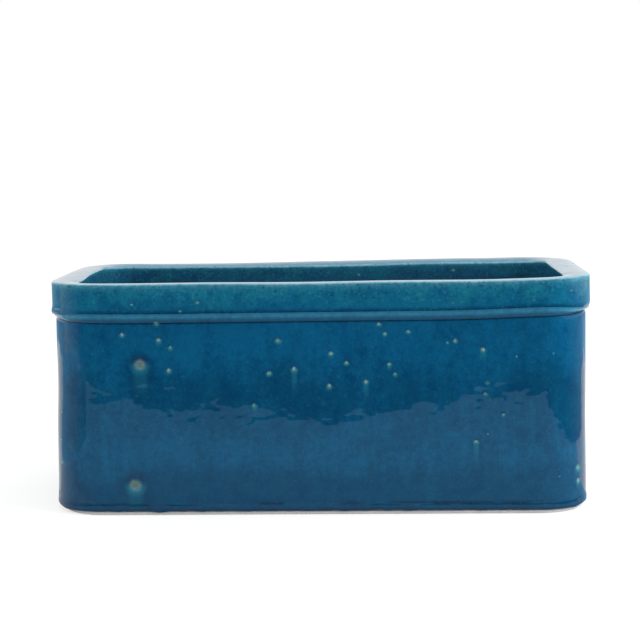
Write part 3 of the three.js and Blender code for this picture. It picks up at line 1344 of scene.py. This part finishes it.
        halo = shade.add(Step.RAMP, away, 0.9, 2.4, 1.0, 0.0)
        lip = shade.product(halo, shade.add(Step.RAMP, up, -0.4, 0.9))
        glow = shade.add(Step.MINUS, halo, lip)
        down = shade.product(up_mm, -1.0)
        fallen = shade.add(Step.OVER, down, shade.add(Step.LARGER, run_length, 0.1))
        sideways = shade.add(Step.UNSIGNED, across)
        run = shade.product(
            shade.add(Step.RAMP, fallen, 0.0, 0.08),
            shade.add(Step.RAMP, fallen, 0.1, 1.0, 1.0, 0.0),
            shade.add(Step.RAMP, sideways, 0.5, 1.9, 1.0, 0.0),
        )
        past_end = shade.product(shade.weighted((up_mm, 1.0), start=run_length), -1.0)
        beyond = shade.add(Step.LARGER, shade.add(Step.LARGER, up_mm, past_end), 0.0)
        around = shade.distance(sideways, shade.add(Step.OVER, beyond, radius))
        fading = shade.add(Step.RAMP, fallen, 0.1, 1.1, 0.4, 0.0)
        moat = shade.product(shade.add(Step.RAMP, around, 1.2, 3.4, fading, 0.0), large)

        colour = shade.add(Step.MIX, moat, colour, self.ink)
        run_share = shade.product(run, shade.add(Step.RAMP, large, 0.0, 1.0, 0.36, 0.28))
        colour = shade.add(Step.MIX, run_share, colour, self.run)
        ringed = shade.add(Step.MIX, large, self.halo, self.run)
        colour = shade.add(Step.MIX, shade.product(glow, 0.5), colour, ringed)
        colour = shade.add(Step.MIX, shade.product(lip, 0.3), colour, self.pooled)
        core = shade.add(Step.RAMP, away, shade.product(large, 0.35), 1.35, 1.0, 0.0)
        shown = shade.product(core, shade.add(Step.RAMP, radius, 0.8, 1.6, 0.4, 0.85))
        colour = shade.add(Step.MIX, shown, colour, self._core(shade, away, large, kind))
        crater = shade.weighted((halo, 0.1), (core, -0.18))
        return colour, core, crater

    def _core(self, shade: Shading, away: Socket, large: Socket, kind: list[Socket]) -> Socket:
        """The middle of a pinhole: pale clay, sage where glaze is left in it, or a dark pit.

        Args:
            shade: the tree.
            away: the way from the pinhole's middle, in its radii.
            large: 1 in the largest pinholes.
            kind: the length of its run, how green it is and how much of a pit.

        Returns:
            The colour.
        """
        baked = shade.product(large, shade.add(Step.RAMP, away, 0.9, 0.2))
        middle = shade.add(Step.MIX, baked, self.clay, self.scar)
        middle = shade.add(Step.MIX, kind[1], middle, self.sage)
        middle = shade.add(Step.MIX, kind[2], middle, self.speck)
        speckle = shade.add(Step.RAMP, self.speckle.on(shade), 0.4, 0.58, 0.0, 0.7)
        return shade.add(Step.MIX, speckle, middle, self.halo)


@dataclass(frozen=True)
class BareClayFinish:
    """Unglazed pale clay, wiped clean of glaze before firing: dry, matt and a little gritty."""

    name: str = "bare fired clay, wiped foot"
    pale: str = "#f4f4f6"
    dull: str = "#e4e4e6"
    grit: str = "#9b968d"
    roughness: float = 0.86
    cloud: Pattern = Pattern(20.0, 5.0)
    grain: Pattern = Pattern(0.7, 3.0)
    grain_depth_mm: float = 0.08
    grit_mm: float = 1.6

    def material(self) -> bpy.types.Material:
        """Makes the clay as a material.

        Returns:
            The material, which reads Object coordinates.
        """
        material = bpy.data.materials.new(self.name)
        shade = Shading(material)
        body = shade.add(Step.MIX, self.cloud.on(shade), self.pale, self.dull)
        away = shade.add(Step.CELLS, shade.place, per_mm(self.grit_mm))[0]
        spot = shade.add(Step.RAMP, away, 0.1, 0.25, 0.6, 0.0)
        grain = shade.product(self.grain.on(shade), self.grain_depth_mm)
        shade.surface(
            "ShaderNodeBsdfPrincipled",
            {
                "Base Color": shade.add(Step.MIX, spot, body, self.grit),
                "Roughness": self.roughness,
                "Normal": shade.add(Step.RELIEF, grain, MM, 1.0),
            },
        )
        return material


@dataclass
class WallCourse:
    """The walls: four slabs and four bends, from the foot up to the crease under the collar.

    The glaze hangs over the top of the foot a little, so the visible wall reaches below the clay one.
    """

    plan: TroughPlan
    low: float
    high: float
    toe_radius: float = 2.0 * MM
    edge: float = 1.0 * MM
    crease: float = 1.0 * MM
    toe_swell: Bump = Bump(0.35 * MM, 2.8 * MM, 3.0 * MM)
    groove: Bump = Bump(0.06 * MM, 6.4 * MM, 1.6 * MM)
    groove_ink: Bump = Bump(0.95, 6.4 * MM, 1.1 * MM)
    toe_pool: Bump = Bump(0.35, 0.0, 1.6 * MM)
    # Darker near the foot: pooled glaze, and painted shade.
    foot_pool_and_shade: Bump = Bump(0.28, 0.0, 6.0 * MM)

    @classmethod
    def from_frame(cls, plan: TroughPlan, crease: float) -> "WallCourse":
        """Reads the walls' lowest height from the frame, and ends them at the crease."""
        foot_top = float(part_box("wall_front")[0][2])
        return cls(plan=plan, low=foot_top - GLAZE_OVERHANG, high=crease)

    def profile(self) -> Profile:
        """The wall's section, with a rounded toe, a groove above it and a pinched top.

        The outer face stands at the wall's radius plus the toe's swell, less the groove, less
        crease exp(-d / pinch), with d down from the wall's top. Swell and groove go by the height
        above the wall's foot.

        Returns:
            The section.
        """
        outer, inner, low, high = self.plan.wall_outer, self.plan.wall_inner, self.low, self.high
        toe, edge = self.toe_radius, self.edge
        finest, fine, plain, coarse = 0.25 * MM, 0.6 * MM, 1.5 * MM, 4 * MM
        near_top, near_toe = high - 4 * MM, low + 11 * MM
        points = np.concatenate(
            [
                arc((outer - toe, low + toe), toe, -QUARTER, 0.0, 5),
                line((outer, low + toe), (outer, near_toe), fine),
                line((outer, near_toe), (outer, near_top), plain),
                line((outer, near_top), (outer, high), finest),
                line((outer, high), (inner + edge, high), coarse),
                arc((inner + edge, high - edge), edge, QUARTER, 2 * QUARTER, 3),
                line((inner, high - edge), (inner, low + edge), coarse),
                arc((inner + edge, low + edge), edge, 2 * QUARTER, 3 * QUARTER, 3),
                line((inner + edge, low), (outer - toe, low), coarse),
            ]
        )
        outside = points[:, 0] > outer - toe
        joint = int(np.argmax(points[:, 1] >= high))
        up, down = points[:, 1] - low, high - points[:, 1]
        out = self.toe_swell.at(up) - self.groove.at(up) - self.crease * np.exp(-down / PINCH_REACH)
        ink = CREASE_INK * nearness(points, (outer, high), CREASE_INK_REACH) + self.groove_ink.at(up)
        # Near the foot the wall is darker: pooled glaze, and painted shade.
        pool = self.foot_pool_and_shade.at(up) + self.toe_pool.at(up)
        # Inside, the pooled glaze is also painted shade.
        pool = np.where(points[:, 0] < inner + edge, INSIDE_POOL_AND_SHADE, pool)
        shaped = points.copy()
        shaped[:, 0] += np.where(outside, out, 0.0)
        none = np.zeros(len(points))
        return Profile(
            points=shaped,
            thin=none,
            pool=np.clip(pool, 0, 1),
            ink=np.where(outside, ink, 0.0),
            shown=outside,
            face=none,
            ledge=none,
            inward=none,
            sag=none,
            reach=travelled(points, joint, high),
            downhill=none + 1,
        )


@dataclass
class CollarCourse:
    """The collar: a thick bar round the mouth, flat on top, with a sloping underside."""

    plan: TroughPlan
    low: float
    high: float
    slope: float = 7.5 * MM
    top_radius: float = 1.6 * MM
    inner_radius: float = 1.8 * MM
    lip_radius: float = 2.0 * MM
    brow_radius: float = 2.6 * MM
    crease: float = 0.7 * MM
    crown: float = 0.5 * MM
    crown_up: float = 0.15 * MM
    crown_depth: float = 8.0 * MM
    crest: float = 3.5 * MM
    sag_depth: float = 16.0 * MM

    @classmethod
    def from_frame(cls, plan: TroughPlan, crease: float) -> "CollarCourse":
        """Reads the collar's top from the frame, and starts it at the crease."""
        return cls(plan=plan, low=crease, high=float(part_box("collar_front")[1][2]))

    def outline(self) -> np.ndarray:
        """The collar's drawn section: slope, brow, upright face, rounded rim and lip.

        Returns:
            Radii and heights, one row for each point.
        """
        outer, inner, wall = self.plan.collar_outer, self.plan.rim_inner, self.plan.wall_outer
        low, high = self.low, self.high
        top, lip, side, bend = self.top_radius, self.lip_radius, self.inner_radius, self.brow_radius
        fine, plain, coarse = 0.35 * MM, 1.2 * MM, 3 * MM
        brow = low + self.slope
        slant = math.atan2(self.slope, outer - wall)
        cut = bend * math.tan((QUARTER - slant) / 2)
        before = (outer - cut * math.cos(slant), brow - cut * math.sin(slant))
        return np.concatenate(
            [
                line((wall, low), before, fine),
                arc((outer - bend, brow + cut), bend, slant - QUARTER, 0.0, 7),
                line((outer, brow + cut), (outer, high - top), plain),
                arc((outer - top, high - top), top, 0.0, QUARTER, 9),
                line((outer - top, high), (inner + side, high), plain),
                arc((inner + side, high - side), side, QUARTER, 2 * QUARTER, 9),
                line((inner, high - side), (inner, low + lip), coarse),
                arc((inner + lip, low + lip), lip, 2 * QUARTER, 3 * QUARTER, 5),
                line((inner + lip, low), (wall, low), coarse),
            ]
        )

    def profile(self) -> Profile:
        """The collar's section, slightly crowned, and how the glaze lies on it.

        The slope starts at the wall's pinched top, and its lowest part is drawn in by
        crease exp(-d / pinch), with d up from the crease. The top is raised by crown_up - crown t^2,
        with t running from -1 to 1 across it, which fades out over crown_depth down the sides. The sag
        is ((s - crest) / (width - crest))^2, with s the way in from the outer edge, and fades out over
        sag_depth. The glaze is thin over both edges of the rim and under the brow, where its paleness is
        also a painted highlight, and runs together in the crease and over the brow. Inside, under the rim,
        the pooled glaze is also painted shade.

        Returns:
            The section.
        """
        outer, inner, wall = self.plan.collar_outer, self.plan.rim_inner, self.plan.wall_outer
        low, high, brow = self.low, self.high, self.low + self.slope
        points = self.outline()
        radius, height = points.T
        shown = (height > low + self.lip_radius) | (radius > wall - 0.1 * MM)

        rim = (
            Touch(0.45, (outer - 0.6 * MM, high), 0.8 * MM),
            Touch(0.34, (outer, high - 1 * MM), 5.0 * MM),
            Touch(0.5, (outer - 4 * MM, high), 4.5 * MM),
            Touch(0.8, (inner + 0.5 * MM, high - 0.5 * MM), 1.4 * MM),
            Touch(0.22, (inner, high - 2 * MM), 5.0 * MM),
        )
        # The ledge under the brow is paler: thinner glaze, and a painted highlight.
        ledge = Touch(0.36, (outer - 1 * MM, brow - 2 * MM), 2.6 * MM)
        above_brow = height > brow + 0.3 * MM
        thin = sum(touch.on(points) for touch in rim) + ledge.on(points) * ~above_brow
        inside = part_way(height, high, high - 6 * MM) * (radius < inner + 1 * MM)
        # Inside, under the rim, the pooled glaze is also painted shade.
        pool = 0.3 * nearness(points, (wall, low), 3.0 * MM) + INSIDE_POOL_AND_SHADE * inside
        over_brow = part_way(height, brow + 4.0 * MM, brow + 0.6 * MM) * above_brow * (radius > wall)
        ink = 0.8 * over_brow + CREASE_INK * nearness(points, (wall, low), CREASE_INK_REACH)

        across = (2 * radius - outer - inner) / (outer - inner)
        near_top = part_way(height, high - self.crown_depth, high) ** 2
        shaped = points.copy()
        shaped[:, 0] -= self.crease * np.exp(-(height - low) / PINCH_REACH) * (radius > wall - 1 * MM)
        shaped[:, 1] += near_top * (self.crown_up - self.crown * across**2)
        way_in = part_way(outer - radius, self.crest, outer - inner)
        return Profile(
            points=shaped,
            thin=np.clip(thin, 0, 1),
            pool=np.clip(pool, 0, 1),
            ink=np.where(shown, ink, 0.0),
            shown=shown,
            face=(radius > outer - self.top_radius).astype(float),
            ledge=nearness(points, ((outer + wall) / 2, (brow + low) / 2), 2.4 * MM),
            inward=np.clip((1 - across) / 2, 0, 1),
            sag=way_in**2 * part_way(height, high - self.sag_depth, high),
            reach=travelled(points, 0, low),
            downhill=np.where(radius > inner + self.inner_radius, 1.0, -1.0),
        )


class Pot:
    """The two courses, built from their rings and dressed in glaze."""

    def __init__(self, camera: PhotoCamera) -> None:
        """Reads the sizes from the frame and settles the hand's shape and the pinholes.

        Args:
            camera: the photograph's point of view, which places the pinholes that it shows.
        """
        self.plan = TroughPlan.from_frame()
        crease = float(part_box("collar_front")[0][2]) - CREASE_DROP
        self.walls = WallCourse.from_frame(self.plan, crease)
        self.collar = CollarCourse.from_frame(self.plan, crease)
        hand = HandShape(crease, crease + self.collar.slope, self.collar.high)
        self.builder = RingBuilder(self.plan, hand)
        self.wall_ring = self.builder.ring(self.walls.profile())
        self.collar_ring = self.builder.ring(self.collar.profile())
        self.holes = self._pinholes(camera)

    def _pinholes(self, camera: PhotoCamera) -> PinholeField:
        """Finds the pinholes' places on walls and collar.

        Args:
            camera: the photograph's point of view.

        Returns:
            The pinholes.
        """
        run = self.wall_ring.run
        holes = PinholeField(loop=float(run[-1] + run[1] - run[0]))
        holes.add_seen([self.wall_ring, self.collar_ring], camera)
        spans = self.builder.spans()
        hidden = 10
        skip = (run[spans["corner_front_left"][hidden]], run[spans["corner_front_right"][-hidden]])
        holes.add_scattered(self.walls.low + 8 * MM, self.collar.high + 20 * MM, skip)
        return holes

    def build(self, glaze: bpy.types.Material) -> list[bpy.types.Object]:
        """Cuts both courses into their pieces, dresses them and sets them on the frame.

        Args:
            glaze: the glaze's material.

        Returns:
            The pieces.
        """
        made = []
        courses = (("wall", self.wall_ring), ("collar", self.collar_ring))
        for course, ring in courses:
            for stretch, rows in self.builder.spans().items():
                node = f"{course}_{stretch}"
                piece = self.builder.piece(f"glazed_{node}", ring, rows, self.holes)
                piece.data.materials.append(glaze)
                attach(piece, BODY)
                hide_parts(node)
                log.info("%s: %d faces", piece.name, len(piece.data.polygons))
                made.append(piece)
        return made


@dataclass
class Base:
    """The base slab: a bare foot that stands out under the walls, and a glazed floor between them."""

    plan: TroughPlan
    foot_radius: float
    foot_height: float
    floor_height: float
    edge: float = 0.8 * MM
    cove: float = 5.0 * MM
    dish: float = 0.8 * MM
    joint: float = 0.2 * MM
    shrinking_rings: int = 22
    floor_pool: float = 0.6

    @classmethod
    def from_frame(cls, plan: TroughPlan) -> "Base":
        """Reads the base's sizes from the frame.

        Args:
            plan: the trough seen from above.

        Returns:
            The base.
        """
        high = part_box("base_slab")[1]
        wall_low = float(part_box("wall_front")[0][2])
        return cls(
            plan=plan,
            foot_radius=float(high[0] - plan.centre_x) + FOOT_SPREAD,
            foot_height=wall_low - GLAZE_OVERHANG - FOOT_GAP,
            floor_height=float(high[2]),
        )

    def outline(self) -> np.ndarray:
        """The slab's outline beyond the corner centres, from its underside round to its floor.

        Returns:
            Radii and heights, one row for each point.
        """
        foot, foot_top, edge = self.foot_radius, self.foot_height, self.edge
        floor, cove = self.floor_height, self.cove
        inner = self.plan.wall_inner - self.joint
        fine, plain, coarse = 0.5 * MM, 2 * MM, 4 * MM
        return np.concatenate(
            [
                line((0.0, 0.0), (foot - edge, 0.0), coarse),
                arc((foot - edge, edge), edge, -QUARTER, 0.0, 4),
                line((foot, edge), (foot, foot_top - edge), fine),
                arc((foot - edge, foot_top - edge), edge, 0.0, QUARTER, 4),
                line((foot - edge, foot_top), (inner, foot_top), plain),
                line((inner, foot_top), (inner, floor + cove), plain),
                arc((inner - cove, floor + cove), cove, 0.0, -QUARTER, 8),
                line((inner - cove, floor), (0.0, floor), plain),
                np.array([[0.0, floor]]),
            ]
        )

    def build(self, clay: bpy.types.Material, glaze: bpy.types.Material) -> bpy.types.Object:
        """Makes the slab and dresses its foot bare and its floor glazed.

        Beyond the corner centres the surface is the outline carried round the plan. Within them it is
        the first or last ring of that, shrunk towards the middle line. The floor dips by
        dish (1 - s^2) towards the middle, with s the share of the way out.

        Args:
            clay: the bare clay.
            glaze: the glaze.

        Returns:
            The base.
        """
        rim = self.outline()
        stations = self.plan.stations()
        flat = stations.centre[:, None, :] + rim[:, 0][:, None] * stations.outward[:, None, :]
        outer = np.dstack([flat, np.broadcast_to(rim[:, 1], flat.shape[:2])])
        inside = np.linspace(1.0, 0.0, self.shrinking_rings + 2)[1:-1]
        core = stations.centre[:, None, :] * inside[None, :, None]
        dip = self.dish * (1 - inside**2)
        below = np.dstack([core, np.zeros(core.shape[:2])])[:, ::-1]
        above = np.dstack([core, np.broadcast_to(self.floor_height - dip, core.shape[:2])])
        grid = np.concatenate([below, outer, above], axis=1)
        middles = [[0.0, 0.0, 0.0], [0.0, 0.0, self.floor_height - self.dish]]
        points = np.concatenate([grid.reshape(-1, 3), middles])

        index = np.arange(grid[..., 0].size).reshape(grid.shape[:2])
        after = np.roll(index, -1, axis=0)
        low_pole, high_pole = np.full(len(index), index.size), np.full(len(index), index.size + 1)
        low_fan = np.stack([low_pole, after[:, 0], index[:, 0]], axis=1)
        high_fan = np.stack([index[:, -1], after[:, -1], high_pole], axis=1)
        quads = quads_on(np.vstack([index, index[:1]]))
        mesh = bpy.data.meshes.new("fired_base")
        mesh.from_pydata(points.tolist(), [], quads.tolist() + low_fan.tolist() + high_fan.tolist())
        mesh.update()
        mesh.shade_smooth()
        mesh.materials.append(clay)
        mesh.materials.append(glaze)
        self._dress(mesh)
        piece = put_in_scene("fired_base", mesh)
        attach(piece, BODY)
        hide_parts("base_slab")
        return piece

    def _dress(self, mesh: bpy.types.Mesh) -> None:
        """Gives the faces above the foot the glaze, and the glaze its attributes there.

        Args:
            mesh: the slab's mesh.
        """
        middles = np.zeros(len(mesh.polygons) * 3)
        mesh.polygons.foreach_get("center", middles)
        glazed = middles[2::3] > self.foot_height + 0.5 * MM
        mesh.polygons.foreach_set("material_index", glazed.astype(np.int32))
        points = np.zeros(len(mesh.vertices) * 3)
        mesh.vertices.foreach_get("co", points)
        height = points[2::3] / MM
        lie = np.column_stack([np.zeros_like(height), np.full_like(height, self.floor_pool), height])
        store(mesh, "glaze", "POINT", "FLOAT_VECTOR", lie)
        for name, value in (("pinhole", NO_PINHOLE), ("pinhole_kind", 0.0)):
            store(mesh, name, "CORNER", "FLOAT_VECTOR", np.full((len(mesh.loops), 3), value))


def stage_quad(name: str, corners: list[tuple[float, float, float]]) -> bpy.types.Object:
    """Makes a four-cornered object and puts it in the scene.

    Args:
        name: the object's name.
        corners: its corners, in order.

    Returns:
        The object.
    """
    mesh = bpy.data.meshes.new(name)
    mesh.from_pydata(corners, [], [(0, 1, 2, 3)])
    quad = put_in_scene(name, mesh)
    return quad


def mirror_only(card: bpy.types.Object, glow: tuple[float, float, float, float]) -> None:
    """Gives a card's corners their brightness, which only reflections see.

    Args:
        card: the card.
        glow: the brightness of each corner.
    """
    card.visible_camera = False
    card.visible_diffuse = False
    card.visible_shadow = False
    card.visible_transmission = False
    card.visible_volume_scatter = False
    store(card.data, "glow", "POINT", "FLOAT", np.array(glow))
    material = bpy.data.materials.new(card.name)
    shade = Shading(material)
    shade.surface("ShaderNodeEmission", {"Strength": shade.add(Step.STORED_NUMBER, attribute_name="glow")})
    card.data.materials.append(material)


@dataclass(frozen=True)
class Card:
    """A card that stands on the floor between two places, and its brightness at the one and the other."""

    name: str
    start: tuple[float, float]
    end: tuple[float, float]
    top: float
    glow: tuple[float, float]

    def build(self) -> None:
        """Makes the card, which only reflections see."""
        corners = [(*self.start, 0.0), (*self.end, 0.0), (*self.end, self.top), (*self.start, self.top)]
        mirror_only(stage_quad(self.name, corners), (*self.glow, *self.glow[::-1]))


@dataclass(frozen=True)
class Sheet:
    """A sheet of paper on the floor, by its front and back corners, and its brightness at each pair."""

    name: str
    corners: tuple[tuple[float, float], ...]
    glow: tuple[float, float]

    def build(self) -> None:
        """Makes the sheet, which only reflections see."""
        places = [(x, y, 1 * MM) for x, y in self.corners]
        mirror_only(stage_quad(self.name, places), tuple(np.repeat(self.glow, 2)))


@dataclass
class Studio:
    """A pale floor in a white room, two soft lamps, and the sides of the room that the glaze reflects.

    The glaze mirrors a dark side in front, a grey side to the left, a low dark thing and a pale side to
    the right, and the bright sweep of paper beside and behind the pot. Cards and sheets that only
    reflections see stand for these, and reflections see the floor bluer than the camera does.
    """

    floor_size: float = 30.0
    floor_colour: str = "#c4c4c2"
    floor_gloss: str = "#9cc4de"
    floor_lift: float = 0.61
    far_lift: float = 0.745
    near: float = 0.5
    far: float = 2.2
    room: float = 0.7
    lamp_right: float = 15.0
    lamp_left: float = 4.2
    lamp_size: float = 1.0
    lamp_place: tuple[float, float, float] = (1.25, -0.26, 0.8)
    aim: tuple[float, float, float] = (0.0, 0.0, 0.1)
    cards: tuple[Card, ...] = (
        Card("dark_side", (-0.72, -0.519), (0.33, -0.519), CARD_TOP, (0.03, 0.03)),
        Card("dark_return", (0.33, -0.519), (0.45, -0.2), CARD_TOP, (0.03, 0.03)),
        Card("low_right", (0.45, -0.2), (0.45, 0.1), 0.125, (0.02, 0.3)),
        Card("right_foot", (0.69, -0.3), (0.69, 0.4), 0.112, (0.06, 0.4)),
        Card("right_wall", (0.7, -0.3), (0.7, 0.4), CARD_TOP, (0.42, 0.6)),
        Card("low_left", (-0.4, -0.32), (-0.4, -0.07), 0.075, (0.08, 0.45)),
        Card("left_front", (-0.72, -0.519), (-1.05, -0.519), CARD_TOP, (0.06, 0.25)),
        Card("left_wall", (-1.05, -0.519), (-1.05, 0.1), CARD_TOP, (0.25, 0.75)),
    )
    sheets: tuple[Sheet, ...] = (
        Sheet("sweep_left", ((-0.9, 0.26), (-0.24, -0.03), (-0.24, 0.68), (-0.9, 0.68)), (0.95, 0.95)),
        Sheet("near_left", ((-0.38, -0.14), (-0.2, -0.14), (-0.2, -0.045), (-0.38, 0.03)), (0.35, 0.7)),
        Sheet("sweep_right", ((0.2, -0.03), (0.8, -0.03), (0.8, 0.52), (0.2, 0.52)), (0.95, 0.95)),
    )

    def build(self) -> None:
        """Makes the floor, the room, the lamps, the cards and the sheets."""
        self._floor()
        self._room()
        x, y, z = self.lamp_place
        self._lamp("lamp_right", (x, y, z), self.lamp_right)
        self._lamp("lamp_left", (-x, y, z), self.lamp_left)
        for reflected in (*self.cards, *self.sheets):
            reflected.build()

    def _floor(self) -> None:
        """Lays the floor, which keeps the pot's shadow and which the camera sees go white further off."""
        half = self.floor_size / 2
        corners = [(-half, -half, 0.0), (half, -half, 0.0), (half, half, 0.0), (-half, half, 0.0)]
        floor = stage_quad("floor", corners)
        material = bpy.data.materials.new("pale table")
        shade = Shading(material)
        colour = shade.add(Step.MIX, shade.add(Step.MIRRORED), self.floor_colour, self.floor_gloss)
        away = shade.add(Step.LENGTH, shade.place)
        lift = shade.add(Step.RAMP, away, self.near, self.far, self.floor_lift, self.far_lift)
        glow = shade.add(Step.GLOW, shade.product(shade.add(Step.SEEN), lift))
        shade.surface("ShaderNodeAddShader", {0: shade.add(Step.DIFFUSE, colour), 1: glow})
        floor.data.materials.append(material)

    def _room(self) -> None:
        """Lights the room evenly. The camera and the gloss see it white."""
        world = bpy.data.worlds.new("white room")
        bpy.context.scene.world = world
        shade = Shading(world)
        white = shade.add(Step.LARGER, shade.add(Step.SEEN), shade.add(Step.MIRRORED))
        level = shade.weighted((white, 1.0 - self.room), start=self.room)
        inputs = {"Color": "#ffffff", "Strength": level}
        shade.surface("ShaderNodeBackground", inputs, "ShaderNodeOutputWorld")

    def _lamp(self, name: str, place: tuple[float, float, float], energy: float) -> None:
        """Hangs a soft lamp, turned to the pot.

        Args:
            name: the lamp's name.
            place: where it hangs.
            energy: its power in watts.
        """
        data = bpy.data.lights.new(name, "AREA")
        data.shape = "SQUARE"
        data.size = self.lamp_size
        data.energy = energy
        away = np.array(place) - np.array(self.aim)
        away /= np.linalg.norm(away)
        side = np.cross([0.0, 0.0, 1.0], away)
        side /= np.linalg.norm(side)
        put_in_scene(name, data).matrix_world = stood(place, side, np.cross(away, side), away)


def main() -> None:
    """Builds the camera, the pot, its base and the studio, and reports each piece."""
    logging.basicConfig(level=logging.INFO, format="%(name)s: %(message)s")
    bpy.context.scene.view_settings.view_transform = "Standard"
    camera = PhotoCamera()
    camera.build()
    glaze = GlazeFinish().material()
    clay = BareClayFinish().material()
    pot = Pot(camera)
    pieces = pot.build(glaze)
    base = Base.from_frame(pot.plan).build(clay, glaze)
    log.info("%s: %d faces", base.name, len(base.data.polygons))
    Studio().build()
    log.info("%d pieces", len(pieces) + 1)


if __name__ == "__main__":
    main()
